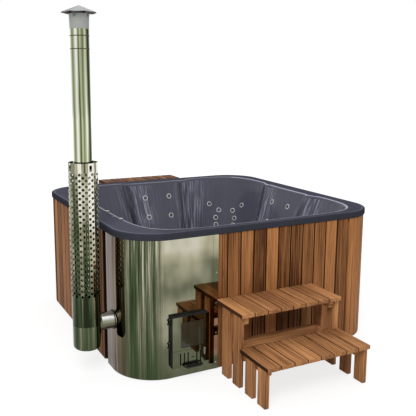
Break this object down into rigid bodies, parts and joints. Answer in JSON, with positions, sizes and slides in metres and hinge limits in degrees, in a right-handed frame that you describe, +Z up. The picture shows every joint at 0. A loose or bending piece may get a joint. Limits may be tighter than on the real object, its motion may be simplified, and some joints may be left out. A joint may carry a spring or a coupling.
{
  "type": "wood-fired hot tub",
  "caption": "Square acrylic hot tub in a vertical timber jacket with a corner wood stove, a side chimney in a perforated shield, timber steps and a rear box",
  "frame": {"origin": "On the ground under the middle of the tub, at the underside of the middle joist", "axes": "+X to the right seen from the front, +Y away from the steps towards the equipment box, +Z up"},
  "size_m": [2.372, 2.952, 2.4203],
  "materials": {
    "acrylic": "glossy dark grey acrylic with a faint blue tint",
    "thermo_wood": "thermally treated pine, oiled, grain along each board",
    "frame_wood": "sawn structural softwood",
    "plywood": "plywood panel",
    "polished_steel": "mirror polished stainless sheet, slightly wavy",
    "satin_steel": "matt stainless",
    "dark_steel": "darkened stainless strip",
    "stove_steel": "welded stainless plate",
    "black_steel": "black heat-proof paint",
    "cast_iron": "raw cast iron",
    "stove_glass": "dark fire-proof glass",
    "seal_rubber": "black seal",
    "pump_plastic": "moulded pump casing",
    "pipe_plastic": "rigid white water pipe",
    "hose_plastic": "grey hose",
    "jet_plastic": "light grey jet ring",
    "chromed": "chromed knob",
    "brass": "cast brass",
    "lever_paint": "red coated lever"
  },
  "bodies": {
    "tub": {"base_frame": "frame_wood", "base_panel": "plywood", "wall_frame": "frame_wood", "top_ring": "frame_wood", "acrylic_shell": "acrylic", "cladding_front": "thermo_wood", "cladding_right": "thermo_wood", "cladding_back": "thermo_wood", "cladding_left": "thermo_wood", "corner_slats": "thermo_wood", "steel_cover": "polished_steel", "cover_trims": "dark_steel", "cover_screws": "satin_steel", "stove_stand": "black_steel", "stove_body": "stove_steel", "stove_neck": "black_steel", "fire_grate": "cast_iron", "door_hinges": "black_steel", "hinge_pins": "satin_steel", "flue_pipe": "polished_steel", "flue_gasket": "seal_rubber", "chimney_lower": "polished_steel", "shield_spacers": "satin_steel", "heat_shield": "polished_steel", "chimney_upper": "polished_steel", "water_pipes": "satin_steel", "box_frame": "frame_wood", "box_walls": "thermo_wood", "lid_brackets": "satin_steel", "pump": "pump_plastic", "suction_pipe": "pipe_plastic", "suction_grille": "satin_steel", "pressure_pipe": "pipe_plastic", "jet_main": "pipe_plastic", "jet_hoses": "hose_plastic", "jets": "jet_plastic", "air_valves": "pipe_plastic", "drain_pipe": "pipe_plastic", "drain_valve": "brass"},
    "door": {"stove_door": "polished_steel", "door_glass": "stove_glass", "glass_clips": "satin_steel"},
    "latch": {"latch_lever": "satin_steel"},
    "drawer": {"ash_drawer": "polished_steel", "grip_rod": "satin_steel", "coil_grip": "black_steel"},
    "air_slide": {"air_slide": "black_steel"},
    "soot_cap": {"soot_cap": "polished_steel"},
    "rain_cap": {"cap_collar": "satin_steel", "cap_roof": "satin_steel"},
    "lid": {"box_lid": "thermo_wood", "lid_battens": "frame_wood", "lid_leaves": "satin_steel"},
    "knob_back": {"deck_knob_back": "chromed"},
    "knob_front": {"deck_knob_front": "chromed"},
    "drain_lever": {"drain_lever": "lever_paint"},
    "steps": {"step_legs": "thermo_wood", "step_rails": "thermo_wood", "lower_tread": "thermo_wood", "upper_tread": "thermo_wood"}
  },
  "joints": [
    {"name": "door_swing", "type": "hinge", "parent": "tub", "child": "door", "pos_m": [-0.751, -1.047, 0.32], "axis": [0, 0, -1], "range_deg": [0, 105]},
    {"name": "latch_turn", "type": "hinge", "parent": "drawer", "child": "latch", "pos_m": [-0.509, -1.07, 0.193], "axis": [0, 1, 0], "range_deg": [0, 180]},
    {"name": "drawer_pull", "type": "slide", "parent": "tub", "child": "drawer", "axis": [0, -1, 0], "range_m": [0, 0.3]},
    {"name": "air_slide_move", "type": "slide", "parent": "drawer", "child": "air_slide", "axis": [1, 0, 0], "range_m": [-0.014, 0]},
    {"name": "soot_cap_drop", "type": "slide", "parent": "tub", "child": "soot_cap", "axis": [0, 0, -1], "range_m": [0, 0.12]},
    {"name": "rain_cap_lift", "type": "slide", "parent": "tub", "child": "rain_cap", "axis": [0, 0, 1], "range_m": [0, 0.1]},
    {"name": "lid_swing", "type": "hinge", "parent": "tub", "child": "lid", "pos_m": [-0.05, 1.056, 0.99], "axis": [1, 0, 0], "range_deg": [0, 85]},
    {"name": "knob_back_turn", "type": "hinge", "parent": "tub", "child": "knob_back", "pos_m": [-0.887, -0.244, 1], "axis": [0, 0, 1], "range_deg": [0, 180]},
    {"name": "knob_front_turn", "type": "hinge", "parent": "tub", "child": "knob_front", "pos_m": [-0.887, -0.533, 1], "axis": [0, 0, 1], "range_deg": [0, 180]},
    {"name": "drain_lever_turn", "type": "hinge", "parent": "tub", "child": "drain_lever", "pos_m": [0.225, 1.087, 0.09], "axis": [0, 0, 1], "range_deg": [0, 90]},
    {"name": "steps_move", "type": "slide", "parent": "tub", "child": "steps", "axis": [0, -1, 0], "range_m": [0, 0.5]}
  ]
}
